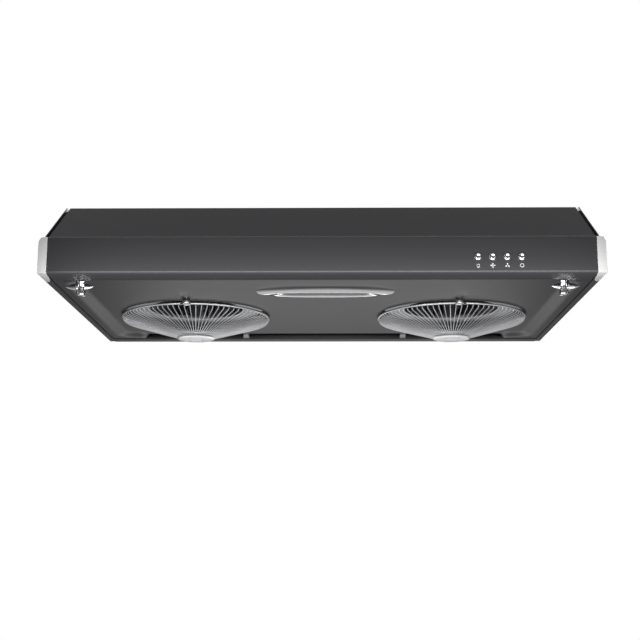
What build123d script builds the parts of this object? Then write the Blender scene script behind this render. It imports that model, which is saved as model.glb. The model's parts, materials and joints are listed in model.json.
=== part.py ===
from build123d import *
import os
from math import cos, sin, radians, pi

# Under cabinet range hood, in millimetres. It is laid out with X to the right, Y back from the
# front face and Z up from the bottom rim. save() then shifts each piece so that the origin is
# the middle of the flat top face, which stands against the cabinet.

# ---- driving dimensions ----
WIDTH = 756.0            # over the end caps and the bottom hems
DEPTH = 508.0
HEIGHT = 125.0
SETBACK = 114.0          # front edge of the top face, behind the front face
FASCIA = 50.0            # height of the upright front face
SHEET = 1.0              # sheet metal
GAP = 0.5                # between sheets that only lie near each other
SIDE_X = 370.0           # outer face of a side plate
SIDE_T = 1.2
BACK_X = SIDE_X - SIDE_T - 0.2   # half length of the back panel
PANEL_X = 364.4          # half length of the slanted and top panels
FASCIA_X = 366.0         # half length of the upright face
RAIL = 41.0              # depth of the front rail's underside
KEEPER_Z = 12.0          # flange over the drop pan's front edge
KEEPER_Y = 75.0
ORIGIN_Y = (SETBACK + DEPTH) / 2

# drop pan
PAN_X = 367.6            # half width
PAN_Y0 = 42.2
PAN_Y1 = 481.0
PAN_REAR_BAND = 5.0
PAN_LOW = 0.8            # underside of its edge flange
CEILING = 7.0            # underside of its raised middle
PAN_BAND = 11.0          # flat edge band
PAN_COVE_ANGLE = 72.8    # of the slope inside it, from upright
PAN_CORNER = 24.0
SLOT_X = 305.0           # half length of the gap along the pan's rear edge
SLOT_Y = 472.0
FLAT_Y = 450.0           # between the slot's ends the pan stays flat from here back
OPENING_R = 116.5

# blowers and guards, one each side
FAN_X = 204.0
FAN_Y = 320.0
GUARD_R = 116.2
GUARD_Z = 3.0
RING_WIRE = 1.5
LUG_Y = 6.5              # hinge line behind a guard's ring
CLIP_REACH = 9.5         # clip in front of it
SPOKE_WIRE = 0.65
SPOKES = 84
HUB_R = 30.0
HUB_Z = -29.0
WHEEL_R = 90.0
WHEEL_IN = 76.0
WHEEL_Z0 = 22.0
WHEEL_Z1 = 72.0
BLADES = 40
CASING_Z0 = 18.0
CASING_Z1 = 80.0
CASING_T = 1.2
SHAFT_R = 4.0
RUNNING = 0.05           # radial clearance of a pin or shaft in its hole
MOTOR_R = 48.0
MOTOR_TOP = 119.0
SCROLL_R0 = 98.0
SCROLL_R1 = 150.0
SCROLL_FROM = 135.0      # angle of the cut-off, in degrees
SCROLL_TO = 450.0

# outlet
DUCT_Y = 420.0
DUCT_R = 74.5
DUCT_T = 1.0
DUCT_HIGH = 30.0         # above the top face
DUCT_NECK = 0.8          # how much narrower the collar is where it passes the top face
SPIGOT_Z = 3.0           # start of its full width, above the top face
PLENUM_X = 80.0
PLENUM_Y0 = 342.0
PLENUM_Y1 = 498.0

# lamp
LAMP_X = 4.5
LAMP_Y = 138.0
LAMP_L = 200.0
LAMP_D = 40.0
LAMP_FULL = 3.0          # power of the frame's outline: higher is squarer
WINDOW_L = 126.0
WINDOW_D = 22.0

# buttons
BUTTON_X0 = 208.0
BUTTON_PITCH = 19.3
BUTTON_Z = 22.0
BUTTON_R = 3.8
BEZEL_R = 4.9
BUTTON_TRAVEL = 3.0

# fittings
LATCH_X = 331.5
WING_SHIFT = 3.0         # the wings' middle, outboard of the spindle
WING_Z = -4.5
LATCH_Y = 60.0
HINGE_X = 136.0
HINGE_Y = 478.0
HINGE_Z = 6.2
REAR_LIP_Y = 486.0       # front edge of the rear rail
PIN_R = 1.5
KNUCKLE_R = 3.0
BOLT_X = 352.0           # half spacing of the cabinet screws
BOLT_Y = 140.0
BOLT_R = 3.5

SIDES = (("left", -1), ("right", 1))
os.makedirs("parts", exist_ok=True)


def save(shape, name):
    """Write one node, shifted to the top face's middle."""
    export_step(Pos(0, -ORIGIN_Y, -HEIGHT) * shape, f"parts/{name}.step")


def block(x0, x1, y0, y1, z0, z1):
    """A box between two corners."""
    return Pos((x0 + x1) / 2, (y0 + y1) / 2, (z0 + z1) / 2) * Box(x1 - x0, y1 - y0, z1 - z0)


def rod(x, y, z0, z1, r):
    """An upright cylinder."""
    return Pos(x, y, (z0 + z1) / 2) * Cylinder(r, z1 - z0)


def cross_rod(x0, x1, y, z, r):
    """A cylinder along X."""
    return Pos((x0 + x1) / 2, y, z) * Rot(0, 90, 0) * Cylinder(r, x1 - x0)


def deep_rod(x, z, y0, y1, r):
    """A cylinder along Y."""
    return Pos(x, (y0 + y1) / 2, z) * Rot(90, 0, 0) * Cylinder(r, y1 - y0)


def bent_sheet(points, bends, x0, x1, thick=SHEET):
    """A folded sheet: its outer line in (y, z) with bend radii, thickened to the right."""
    line = FilletPolyline(*points, radius=bends)
    face = make_face(offset(line, amount=thick, side=Side.RIGHT).edges())
    return Pos(x0, 0, 0) * extrude(Plane.YZ * face, x1 - x0, dir=(1, 0, 0))


def outline(points, x0, x1):
    """A prism along X from an outline in (y, z)."""
    face = Plane.YZ * make_face(Polyline(*points, close=True))
    return Pos(x0, 0, 0) * extrude(face, x1 - x0, dir=(1, 0, 0))


# ---- body panels ----
def top_panel():
    panel = block(-PANEL_X, PANEL_X, SETBACK + 30, DEPTH, HEIGHT - SHEET, HEIGHT)
    panel -= rod(0, DUCT_Y, HEIGHT - 2, HEIGHT + 1, DUCT_R + GAP)
    for sx in (-1, 1):
        for sy in (-1, 1):
            panel -= rod(sx * BOLT_X, ORIGIN_Y + sy * BOLT_Y, HEIGHT - 2, HEIGHT + 1, BOLT_R)
    return panel


def front_panel():
    """Top lip, slanted panel, fascia, front rail and keeper flange, folded from one sheet."""
    profile = [
        (KEEPER_Y, KEEPER_Z), (RAIL, KEEPER_Z), (RAIL, 0), (0, 0), (0, FASCIA),
        (SETBACK, HEIGHT), (SETBACK + 30, HEIGHT),
    ]
    panel = bent_sheet(profile, [2, 2, 3, 4, 7], -FASCIA_X, FASCIA_X)
    for x in (-FASCIA_X - 1, PANEL_X):
        panel -= block(x, x + FASCIA_X + 1 - PANEL_X, -1, DEPTH, FASCIA + GAP, HEIGHT + 1)
    for i in range(4):
        x = BUTTON_X0 + i * BUTTON_PITCH
        panel -= deep_rod(x, BUTTON_Z, -2, 4, BEZEL_R - 0.8)
    for _, s in SIDES:
        panel -= rod(s * LATCH_X, LATCH_Y, KEEPER_Z - 3, KEEPER_Z + 3, 6.5)
    return panel


def back_panel():
    """Back wall with the rear rail turned forward and up at its foot."""
    profile = [(REAR_LIP_Y, 4), (REAR_LIP_Y, 0), (DEPTH, 0), (DEPTH, HEIGHT - SHEET - 0.1)]
    panel = bent_sheet(profile, [1.6, 2], -BACK_X, BACK_X)
    return panel - deep_rod(-255, 70, DEPTH - 4, DEPTH + 2, 11)


def side_plate(s):
    """Side wall with a front flange under the slanted panel and a rolled hem at its foot."""
    front = 3.2
    front_z = FASCIA + front * (HEIGHT - FASCIA) / SETBACK
    edge = [(front, 13.0), (DEPTH, 13.0), (DEPTH, HEIGHT), (SETBACK, HEIGHT), (front, front_z)]
    wall = outline(edge, SIDE_X - SIDE_T, SIDE_X)
    for y in (180, 300, 420):
        wall -= cross_rod(SIDE_X - 3, SIDE_X + 1, y, 108, 1.8)
    hem_y0 = RAIL + 9
    hem = block(SIDE_X - SIDE_T, WIDTH / 2, hem_y0, DEPTH, 0, 13)
    hem -= block(SIDE_X, WIDTH / 2 - SIDE_T, hem_y0 - 1, DEPTH + 1, 1.4, 11.6)
    slope = [(3.0, FASCIA - 4), (SETBACK, HEIGHT - 6), (SETBACK, HEIGHT - 7.4), (3.0, FASCIA - 5.4)]
    flange = outline(slope, PANEL_X + 0.2, SIDE_X - SIDE_T)
    seam = block(PANEL_X + 0.2, SIDE_X - SIDE_T, SETBACK, DEPTH - 1.2, HEIGHT - 7.4, HEIGHT - 6)
    foot = block(SIDE_X - SIDE_T, SIDE_X, front, RAIL + 0.6, 1.6, 13)
    foot += block(SIDE_X - SIDE_T, SIDE_X, RAIL + 0.6, hem_y0, 0, 13)
    plate = wall + hem + foot + flange + seam
    return plate if s > 0 else mirror(plate, about=Plane.YZ)


def end_cap(s):
    """Plastic corner piece over the fascia's end, wrapping under it and tapering inwards."""
    x1 = WIDTH / 2
    x0 = FASCIA_X + 0.2
    face = block(x0, x1, -0.6, 3.0, 0, FASCIA)
    cheek = block(SIDE_X + 0.2, x1, 3.0, RAIL + 8.6, 0, FASCIA)
    cheek -= block(SIDE_X, x1 - 2.2, 5.0, RAIL + 10, -1, FASCIA - 2.4)
    tail = [(x0, 0), (x1, 0), (x1, RAIL + 8.6), (x1 - 4.6, RAIL + 8.6), (x1 - 7.6, RAIL)]
    sole = extrude(make_face(Polyline(*tail, close=True)), 1.4, dir=(0, 0, 1))
    cap = face + cheek + (sole & block(0, x1, 3.0, DEPTH, -1, 1.4))
    top = cap.edges().filter_by(Axis.Y).filter_by_position(Axis.X, x1 - 0.1, x1 + 0.1)
    cap = fillet(top.filter_by_position(Axis.Z, FASCIA - 0.1, FASCIA + 0.1), 2.0)
    return cap if s > 0 else mirror(cap, about=Plane.YZ)


# ---- buttons ----
def button_bezels():
    rings = []
    for i in range(4):
        x = BUTTON_X0 + i * BUTTON_PITCH
        ring = deep_rod(x, BUTTON_Z, -1.2, 0, BEZEL_R)
        ring += deep_rod(x, BUTTON_Z, 0, 6, BEZEL_R - 0.8)
        ring -= deep_rod(x, BUTTON_Z, -3, 8, BUTTON_R + RUNNING)
        rings.append(ring)
    return Compound(children=rings)


def button(i):
    """Domed cap on a square stem that enters the switch block."""
    x = BUTTON_X0 + i * BUTTON_PITCH
    cap = deep_rod(x, BUTTON_Z, -3.2, 5.0, BUTTON_R)
    rim = cap.edges().filter_by(GeomType.CIRCLE).sort_by(Axis.Y)[0]
    cap = fillet(rim, 1.2)
    return cap + block(x - 1.5, x + 1.5, 5.0, 16.0, BUTTON_Z - 1.5, BUTTON_Z + 1.5)


def switch_block():
    x0 = BUTTON_X0 - 12
    x1 = BUTTON_X0 + 3 * BUTTON_PITCH + 12
    body = block(x0, x1, 12, 34, 15, 29)
    for i in range(4):
        x = BUTTON_X0 + i * BUTTON_PITCH
        body -= block(x - 2, x + 2, 11, 16 + BUTTON_TRAVEL + 1, BUTTON_Z - 2, BUTTON_Z + 2)
        body += block(x - 1, x + 1, 34, 38, 18, 26)
    return body


def switch_bracket():
    x0 = BUTTON_X0 - 20
    x1 = BUTTON_X0 + 3 * BUTTON_PITCH + 20
    shelf = block(x0, x1, 10, 38, KEEPER_Z + 1.6, KEEPER_Z + 3)
    for x in (x0, x1 - 6):
        shelf += block(x, x + 6, 10, 11.4, KEEPER_Z + 1.6, 32)
    return shelf


# ---- blower ----
def spiral(at, extra):
    """Radius of the scroll at an angle: it grows evenly from the cut-off to the outlet."""
    part = (at - SCROLL_FROM) / (SCROLL_TO - SCROLL_FROM)
    r = SCROLL_R0 + (SCROLL_R1 - SCROLL_R0) * part + extra
    return (r * cos(radians(at)), r * sin(radians(at)))


def spiral_line(extra):
    steps = [SCROLL_FROM + 22.5 * k for k in range(15)]
    return [spiral(a, extra) for a in steps]


def scroll_wall():
    """Spiral wall and the straight outlet walls, seen from above round the wheel's centre."""
    inner = Spline(*spiral_line(0))
    outer = Spline(*spiral_line(CASING_T))
    ends = [Line(inner @ 0, outer @ 0), Line(inner @ 1, outer @ 1)]
    z = CASING_Z1 - CASING_Z0 - CASING_T
    wall = extrude(make_face(Curve() + [inner, outer] + ends), z, dir=(0, 0, 1))
    x, y = spiral(SCROLL_FROM, 0)
    out_x = PLENUM_X - FAN_X + 0.2
    wall += block(out_x, x, y - CASING_T, y, 0, z)
    wall += block(out_x, 0.5, SCROLL_R1, SCROLL_R1 + CASING_T, 0, z)
    return Pos(FAN_X, FAN_Y, CASING_Z0 + CASING_T) * wall


def casing_plate(z0, hole_r):
    """A flat cover with the scroll's outline and a round hole."""
    line = Spline(*spiral_line(CASING_T))
    x, y = spiral(SCROLL_FROM, 0)
    out_x = PLENUM_X - FAN_X + 0.2
    y1 = (line @ 1).Y
    rest = Polyline((line @ 1), (out_x, y1), (out_x, y - CASING_T), (line @ 0))
    face = make_face(Curve() + [line, rest])
    plate = Pos(FAN_X, FAN_Y, z0) * extrude(face, CASING_T, dir=(0, 0, 1))
    return plate - rod(FAN_X, FAN_Y, z0 - 3, z0 + 3, hole_r)


def inlet_plate():
    """Bottom cover with a bell mouth turned up towards the wheel."""
    plate = casing_plate(CASING_Z0, WHEEL_IN - 2)
    bell = rod(FAN_X, FAN_Y, CASING_Z0, WHEEL_Z0 - 0.6, WHEEL_IN)
    return plate + (bell - rod(FAN_X, FAN_Y, 0, 40, WHEEL_IN - 2))


def motor_plates():
    """Top covers of both casings, which carry the motors."""
    plate = casing_plate(CASING_Z1, 22.0)
    for k in range(3):
        a = radians(30 + 120 * k)
        plate -= rod(FAN_X + 54 * cos(a), FAN_Y + 54 * sin(a), CASING_Z1 - 2, CASING_Z1 + 3, 2.2)
    return Compound(children=[plate, mirror(plate, about=Plane.YZ)])


def motor():
    """Can, mounting flange and nose, with a bearing bore for the shaft."""
    z = CASING_Z1 + CASING_T
    body = rod(FAN_X, FAN_Y, z + 2, MOTOR_TOP, MOTOR_R)
    body = fillet(body.edges().filter_by(GeomType.CIRCLE).sort_by(Axis.Z)[-1], 6)
    body += rod(FAN_X, FAN_Y, z, z + 2, 60)
    body += rod(FAN_X, FAN_Y, z - 5, z, 20)
    body -= rod(FAN_X, FAN_Y, z - 6, MOTOR_TOP - 4, SHAFT_R + RUNNING)
    for k in range(3):
        a = radians(30 + 120 * k)
        body -= rod(FAN_X + 54 * cos(a), FAN_Y + 54 * sin(a), z - 1, z + 3, 2.2)
    return body


def motor_screws():
    z = CASING_Z1 + CASING_T
    screws = []
    for s in (-1, 1):
        for k in range(3):
            a = radians(30 + 120 * k)
            x = s * (FAN_X + 54 * cos(a))
            y = FAN_Y + 54 * sin(a)
            screws.append(rod(x, y, z - 4, z + 2, 2.0) + rod(x, y, z + 2, z + 5, 4.0))
    return Compound(children=screws)


def fan_wheel():
    """Forward-curved blades between a back plate and a bottom ring."""
    back = rod(0, 0, WHEEL_Z1, WHEEL_Z1 + 1.2, WHEEL_R)
    ring = rod(0, 0, WHEEL_Z0, WHEEL_Z0 + 1.2, WHEEL_R) - rod(0, 0, 0, 60, WHEEL_IN + 1)
    wheel = back + ring
    mid = (WHEEL_R + WHEEL_IN) / 2
    blade = Pos(mid, 0, (WHEEL_Z0 + WHEEL_Z1) / 2 + 0.6)
    blade = blade * Rot(0, 0, 35) * Box(WHEEL_R - WHEEL_IN - 2, 0.8, WHEEL_Z1 - WHEEL_Z0)
    blades = [Rot(0, 0, 360 / BLADES * k) * blade for k in range(BLADES)]
    wheel = wheel.fuse(*blades)
    wheel -= rod(0, 0, WHEEL_Z1 - 2, WHEEL_Z1 + 3, SHAFT_R)
    return Pos(FAN_X, FAN_Y, 0) * wheel


def fan_hub():
    """Tapered hub under the wheel's back plate."""
    cone = Pos(0, 0, (WHEEL_Z1 + 20) / 2) * Rot(180, 0, 0) * Cone(30, 13, WHEEL_Z1 - 20)
    return Pos(FAN_X, FAN_Y, 0) * (cone - rod(0, 0, 10, WHEEL_Z1 + 1, SHAFT_R))


def motor_shaft():
    return rod(FAN_X, FAN_Y, 9, MOTOR_TOP - 5, SHAFT_R)


def wheel_nut():
    """Domed nut that holds the wheel on the shaft."""
    nut = rod(FAN_X, FAN_Y, 6, 20, 8.5)
    nut = fillet(nut.edges().filter_by(GeomType.CIRCLE).sort_by(Axis.Z)[0], 3)
    return nut - rod(FAN_X, FAN_Y, 9, 21, SHAFT_R)


def blower_hangers():
    """Upright straps from the blower plates to the top panel."""
    z0 = CASING_Z1 + CASING_T
    posts = []
    for s in (-1, 1):
        for x, y in ((0, -84), (84, 20), (-60, 76)):
            x = s * (FAN_X + x)
            y = FAN_Y + y
            post = block(x - 9, x + 9, y - 1, y + 1, z0, HEIGHT - SHEET)
            post += block(x - 9, x + 9, y + 1, y + 13, z0, z0 + 1.5)
            post += block(x - 9, x + 9, y + 1, y + 13, HEIGHT - SHEET - 1.5, HEIGHT - SHEET)
            posts.append(post)
    return Compound(children=posts)


def capacitor():
    return block(-30, 30, 210, 232, HEIGHT - SHEET - 38, HEIGHT - SHEET)


def terminal_box():
    box = block(-300, -220, 470, DEPTH - SHEET, 92, HEIGHT - SHEET)
    return box - block(-298, -222, 472, DEPTH - SHEET - 1, 94, HEIGHT - SHEET - 2)


def cable_grommet():
    ring = deep_rod(-255, 70, DEPTH - SHEET, DEPTH, 11)
    ring += deep_rod(-255, 70, DEPTH - 3.5, DEPTH - SHEET, 14)
    return ring - deep_rod(-255, 70, DEPTH - 5, DEPTH + 2, 7)


# ---- outlet ----
def outlet_plenum():
    """Box that gathers both blowers' air under the collar, open on top and at both sides."""
    top = HEIGHT - SHEET
    box = block(-PLENUM_X, PLENUM_X, PLENUM_Y0, PLENUM_Y1, CASING_Z0, top)
    t = CASING_T
    box -= block(-PLENUM_X + t, PLENUM_X - t, PLENUM_Y0 + t, PLENUM_Y1 - t, CASING_Z0 + t, top + 1)
    y0 = FAN_Y + spiral(SCROLL_FROM, 0)[1]
    y1 = FAN_Y + SCROLL_R1
    return box - block(-PLENUM_X - 1, PLENUM_X + 1, y0, y1, CASING_Z0 + t, CASING_Z1)


def duct_collar():
    """Round collar: a spigot for the duct over a narrower neck through the top panel."""
    z0 = HEIGHT - SHEET - 6
    step = HEIGHT + SPIGOT_Z
    neck = DUCT_R - DUCT_NECK
    collar = rod(0, DUCT_Y, z0, step, neck) + rod(0, DUCT_Y, step, HEIGHT + DUCT_HIGH, DUCT_R)
    collar += rod(0, DUCT_Y, HEIGHT - SHEET - 1.2, HEIGHT - SHEET, DUCT_R + 2.0)
    collar -= rod(0, DUCT_Y, z0 - 1, step + DUCT_T, neck - DUCT_T)
    return collar - rod(0, DUCT_Y, step + DUCT_T, HEIGHT + DUCT_HIGH + 1, DUCT_R - DUCT_T)


FLAP_Z = HEIGHT + 12


def damper_rod():
    """Pivot rod across the collar that both damper flaps swing on."""
    reach = DUCT_R - DUCT_T - RUNNING
    return deep_rod(0, FLAP_Z, DUCT_Y - reach, DUCT_Y + reach, PIN_R)


def damper_flap():
    """Half disc with a knuckle on the rod."""
    r = DUCT_R - DUCT_T - 2
    disc = rod(0, DUCT_Y, FLAP_Z - 0.4, FLAP_Z + 0.4, r) & block(2.8, 100, 0, DEPTH, 0, 400)
    for y in (DUCT_Y - 40, DUCT_Y + 14):
        disc += deep_rod(0, FLAP_Z, y, y + 12, 2.4)
        disc += block(0, 4, y, y + 12, FLAP_Z - 0.4, FLAP_Z + 0.4)
    return disc - deep_rod(0, FLAP_Z, 0, DEPTH + 99, PIN_R + RUNNING)


# ---- rear hinges and front latches ----
def hinge_brackets():
    """Fixed ears and pins on the rear rail."""
    both = []
    y = REAR_LIP_Y - SHEET
    for s in (-1, 1):
        x = s * HINGE_X
        bracket = block(x - 4.8, x + 4.8, y - 1.4, y, 1, 14)
        for e in (x - 4.8, x + 3.4):
            bracket += block(e, e + 1.4, HINGE_Y - 2.4, y, HINGE_Z - 2.4, HINGE_Z + 2.4)
        both.append(bracket + cross_rod(x - 4.8, x + 4.8, HINGE_Y, HINGE_Z, PIN_R))
    return Compound(children=both)


def pan_hinge_leaves():
    """Knuckles on the drop pan's rear edge."""
    both = []
    for s in (-1, 1):
        x = s * HINGE_X
        leaf = cross_rod(x - 3, x + 3, HINGE_Y, HINGE_Z, KNUCKLE_R)
        leaf += block(x - 3, x + 3, HINGE_Y - 28, HINGE_Y, CEILING + SHEET, HINGE_Z + KNUCKLE_R)
        both.append(leaf - cross_rod(x - 9, x + 9, HINGE_Y, HINGE_Z, PIN_R + RUNNING))
    return Compound(children=both)


def tray(low, grow):
    """The tray's raised shape: a slope all round up to a flat middle."""
    y1 = PAN_Y1 - PAN_REAR_BAND
    wide = 2 * (PAN_X - PAN_BAND) + grow
    deep = y1 - PAN_Y0 + grow / 2
    base = Pos(0, (PAN_Y0 + y1) / 2 + grow / 4, low) * RectangleRounded(wide, deep, PAN_CORNER)
    return extrude(base, CEILING - PAN_LOW, taper=PAN_COVE_ANGLE)


def drop_pan():
    """Pressed tray with two round openings, a lamp window and latch and clip holes."""
    band = block(-PAN_X, PAN_X, PAN_Y0, PAN_Y1, PAN_LOW, PAN_LOW + SHEET)
    pan = band + tray(PAN_LOW + SHEET, 2)
    pan -= tray(PAN_LOW, 0)
    for _, s in SIDES:
        pan -= rod(s * FAN_X, FAN_Y, -5, 15, OPENING_R)
        pan -= rod(s * FAN_X, CLIP_Y, -5, 15, 4.2)
        pan -= rod(s * LATCH_X, LATCH_Y, -5, 15, 4.0 + RUNNING)
    pan -= block(-SLOT_X, SLOT_X, FLAT_Y, PAN_Y1 + 1, -5, 15)
    pan += block(-SLOT_X, SLOT_X, FLAT_Y, SLOT_Y, CEILING, CEILING + SHEET)
    x = WINDOW_L / 2 + 2
    y = WINDOW_D / 2 + 2
    return pan - block(LAMP_X - x, LAMP_X + x, LAMP_Y - y, LAMP_Y + y, -5, 15)


CLIP_Y = FAN_Y - GUARD_R - CLIP_REACH


def wing_latch(s):
    """Winged turn button: boss and spindle through the pan, a leaf and a cross rib."""
    x = s * LATCH_X
    latch = rod(x, LATCH_Y, -18, KEEPER_Z + 4, 4.0) + rod(x, LATCH_Y, -18, 3, 6.0)
    wing = Rot(90, 0, 0) * extrude(Ellipse(19, 4.6), 1.6, both=True)
    wing = Pos(x + s * WING_SHIFT, LATCH_Y, WING_Z) * wing
    rib = block(x + s * 6.5 - 0.8, x + s * 6.5 + 0.8, LATCH_Y - 5, LATCH_Y + 5, -14, 3.6)
    latch += wing
    latch += rib
    latch += block(x - 10, x + 10, LATCH_Y - 2.4, LATCH_Y + 2.4, KEEPER_Z + 2.6, KEEPER_Z + 4)
    return latch - deep_rod(x + s * 4, -13.3, LATCH_Y - 9, LATCH_Y + 9, 1.4)


def latch_clips():
    """Spring rings that keep the latch spindles in the pan."""
    both = []
    for _, s in SIDES:
        ring = rod(s * LATCH_X, LATCH_Y, CEILING + SHEET + 0.1, CEILING + SHEET + 1.3, 6.0)
        both.append(ring - rod(s * LATCH_X, LATCH_Y, 0, 20, 4.0 + RUNNING))
    return Compound(children=both)


# ---- lamp ----
def boat(length, depth):
    """Long oval with pointed ends: its half depth falls off as a power of the way to the tip."""
    steps = [k / 8 for k in range(-8, 9)]
    line = [(t * length / 2, depth / 2 * (1 - abs(t) ** LAMP_FULL)) for t in steps]
    back = Spline(*line)
    front = Spline(*[(x, -y) for x, y in line])
    return make_face(Curve() + [back, front])


def lamp_bezel():
    """Pointed oval frame round the lamp window, standing below the pan."""
    frame = Pos(LAMP_X, LAMP_Y, CEILING - 6) * extrude(boat(LAMP_L, LAMP_D), 6, dir=(0, 0, 1))
    hole = RectangleRounded(WINDOW_L, WINDOW_D, 8)
    return frame - Pos(LAMP_X, LAMP_Y, -10) * extrude(hole, 30)


def lamp_lens():
    pane = RectangleRounded(WINDOW_L - 0.6, WINDOW_D - 0.6, 7.7)
    return Pos(LAMP_X, LAMP_Y, CEILING - 5) * extrude(pane, 2)


def lamp_tray():
    """Reflector housing above the window."""
    x = WINDOW_L / 2 + 12
    top = CEILING + SHEET
    housing = block(-x, x, LAMP_Y - 30, LAMP_Y + 30, top, 40)
    housing += block(-x - 10, x + 10, LAMP_Y - 30, LAMP_Y + 30, top, top + 1.2)
    return Pos(LAMP_X, 0, 0) * (housing - block(-x + 1.2, x - 1.2, LAMP_Y - 28.8, LAMP_Y + 28.8, 0, 38.8))


def lamp_bulbs():
    """Two tubular bulbs lying end to end."""
    bulbs = []
    for s in (-1, 1):
        bulb = cross_rod(LAMP_X + s * 30 - 20, LAMP_X + s * 30 + 20, LAMP_Y, 24, 8)
        bulbs.append(fillet(bulb.edges().filter_by(GeomType.CIRCLE), 4))
    return Compound(children=bulbs)


def lamp_sockets():
    sockets = []
    for s in (-1, 1):
        x = LAMP_X + s * (WINDOW_L / 2 - 1.25)
        sockets.append(block(x - 12, x + 12, LAMP_Y - 11, LAMP_Y + 11, 12, 38.7))
    bulb = cross_rod(LAMP_X - 50.1, LAMP_X + 50.1, LAMP_Y, 24, 8)
    return Compound(children=[b - bulb for b in sockets])


# ---- wire guards ----
def guard_ring():
    """Outer ring with a hinge lug behind and a clip tab in front."""
    ring = Pos(0, 0, GUARD_Z) * Torus(GUARD_R, RING_WIRE)
    y = GUARD_R + LUG_Y
    lug = cross_rod(-2.6, 2.6, y, GUARD_Z, 2.5)
    lug += block(-2.6, 2.6, GUARD_R, y, GUARD_Z - 0.8, GUARD_Z + 0.8)
    ring += lug - cross_rod(-9, 9, y, GUARD_Z, PIN_R + RUNNING)
    tab = block(-6, 6, CLIP_Y - FAN_Y - 5, -GUARD_R, GUARD_Z - 0.7, GUARD_Z + 0.7)
    ring += tab - rod(0, CLIP_Y - FAN_Y, 0, 9, 2.0 + RUNNING)
    return Pos(FAN_X, FAN_Y, 0) * ring


def guard_wires():
    """Straight spokes: a short drop at the ring, then a slope in to the hub."""
    r0 = GUARD_R
    z0 = GUARD_Z - RING_WIRE - SPOKE_WIRE - 0.02
    points = [(r0, 0, z0), (r0 - 2, 0, z0 - 4), (HUB_R - 2, 0, HUB_Z + SPOKE_WIRE)]
    path = FilletPolyline(*points, radius=3)
    section = Plane(origin=path @ 0, z_dir=path % 0) * Circle(SPOKE_WIRE)
    spoke = sweep(section, path=path)
    turn = 360 / SPOKES
    both = [Rot(0, 0, turn * (k + 0.5)) * spoke for k in range(SPOKES)]
    return [Pos(FAN_X, FAN_Y, 0) * w for w in both]


def guard_hub():
    """Pressed disc at the cone's foot with a raised ring, gripping the spokes' ends."""
    disc = rod(0, 0, HUB_Z - 2.0, HUB_Z - 0.1, HUB_R)
    disc += rod(0, 0, HUB_Z + 2 * SPOKE_WIRE + 0.1, HUB_Z + 4, HUB_R - 4)
    disc -= rod(0, 0, HUB_Z - 1, HUB_Z + 5, HUB_R - 6.5)
    for k in range(4):
        a = radians(45 + 90 * k)
        disc -= rod(14 * cos(a), 14 * sin(a), HUB_Z - 4, HUB_Z + 2, 1.8)
    return Pos(FAN_X, FAN_Y, 0) * disc


def guard_clip():
    """Captive thumbscrew through the guard's front tab, with a side tongue."""
    head = rod(FAN_X, CLIP_Y, GUARD_Z - 5.2, GUARD_Z - 0.8, 6.5)
    head = fillet(head.edges().filter_by(GeomType.CIRCLE).sort_by(Axis.Z)[0], 3)
    clip = head + rod(FAN_X, CLIP_Y, GUARD_Z - 0.8, 15, 2.0)
    return clip + block(FAN_X, FAN_X + 9.5, CLIP_Y - 1.5, CLIP_Y + 1.5, GUARD_Z - 4, GUARD_Z - 1.9)


def guard_brackets():
    """Ears and pins under the pan that the guards' rear lugs turn on."""
    both = []
    y = FAN_Y + GUARD_R + LUG_Y
    for s in (-1, 1):
        x = s * FAN_X
        bracket = block(x - 4.4, x + 4.4, y - 2, y + 12, CEILING - 1.2, CEILING)
        for e in (x - 4.4, x + 3.0):
            bracket += block(e, e + 1.4, y - 2.2, y + 3, GUARD_Z - 2.4, CEILING - 1.2)
        both.append(bracket + cross_rod(x - 4.4, x + 4.4, y, GUARD_Z, PIN_R))
    return Compound(children=both)


def body_screws():
    """Round-headed screws through the side plates' upper seams."""
    heads = []
    for y in (180, 300, 420):
        head = cross_rod(SIDE_X, SIDE_X + 2, y, 108, 4)
        head += cross_rod(SIDE_X - 6, SIDE_X, y, 108, 1.8)
        heads += [head, mirror(head, about=Plane.YZ)]
    return Compound(children=heads)


save(top_panel(), "top_panel")
save(front_panel(), "front_panel")
save(back_panel(), "back_panel")
save(button_bezels(), "button_bezels")
save(switch_block(), "switch_block")
save(switch_bracket(), "switch_bracket")
save(motor_plates(), "motor_plates")
save(motor_screws(), "motor_screws")
save(blower_hangers(), "blower_hangers")
save(capacitor(), "capacitor")
save(terminal_box(), "terminal_box")
save(cable_grommet(), "cable_grommet")
save(outlet_plenum(), "outlet_plenum")
save(duct_collar(), "duct_collar")
save(damper_rod(), "damper_rod")
save(damper_flap(), "right_damper_flap")
save(Pos(0, DUCT_Y, 0) * Rot(0, 0, 180) * Pos(0, -DUCT_Y, 0) * damper_flap(), "left_damper_flap")
save(hinge_brackets(), "hinge_brackets")
save(pan_hinge_leaves(), "pan_hinge_leaves")
save(drop_pan(), "drop_pan")
save(latch_clips(), "latch_clips")
save(lamp_bezel(), "lamp_bezel")
save(lamp_lens(), "lamp_lens")
save(lamp_tray(), "lamp_tray")
save(lamp_bulbs(), "lamp_bulbs")
save(lamp_sockets(), "lamp_sockets")
save(guard_brackets(), "guard_brackets")
save(body_screws(), "body_screws")

for i, use in enumerate(("light", "high_speed", "low_speed", "off")):
    save(button(i), f"{use}_button")

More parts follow.
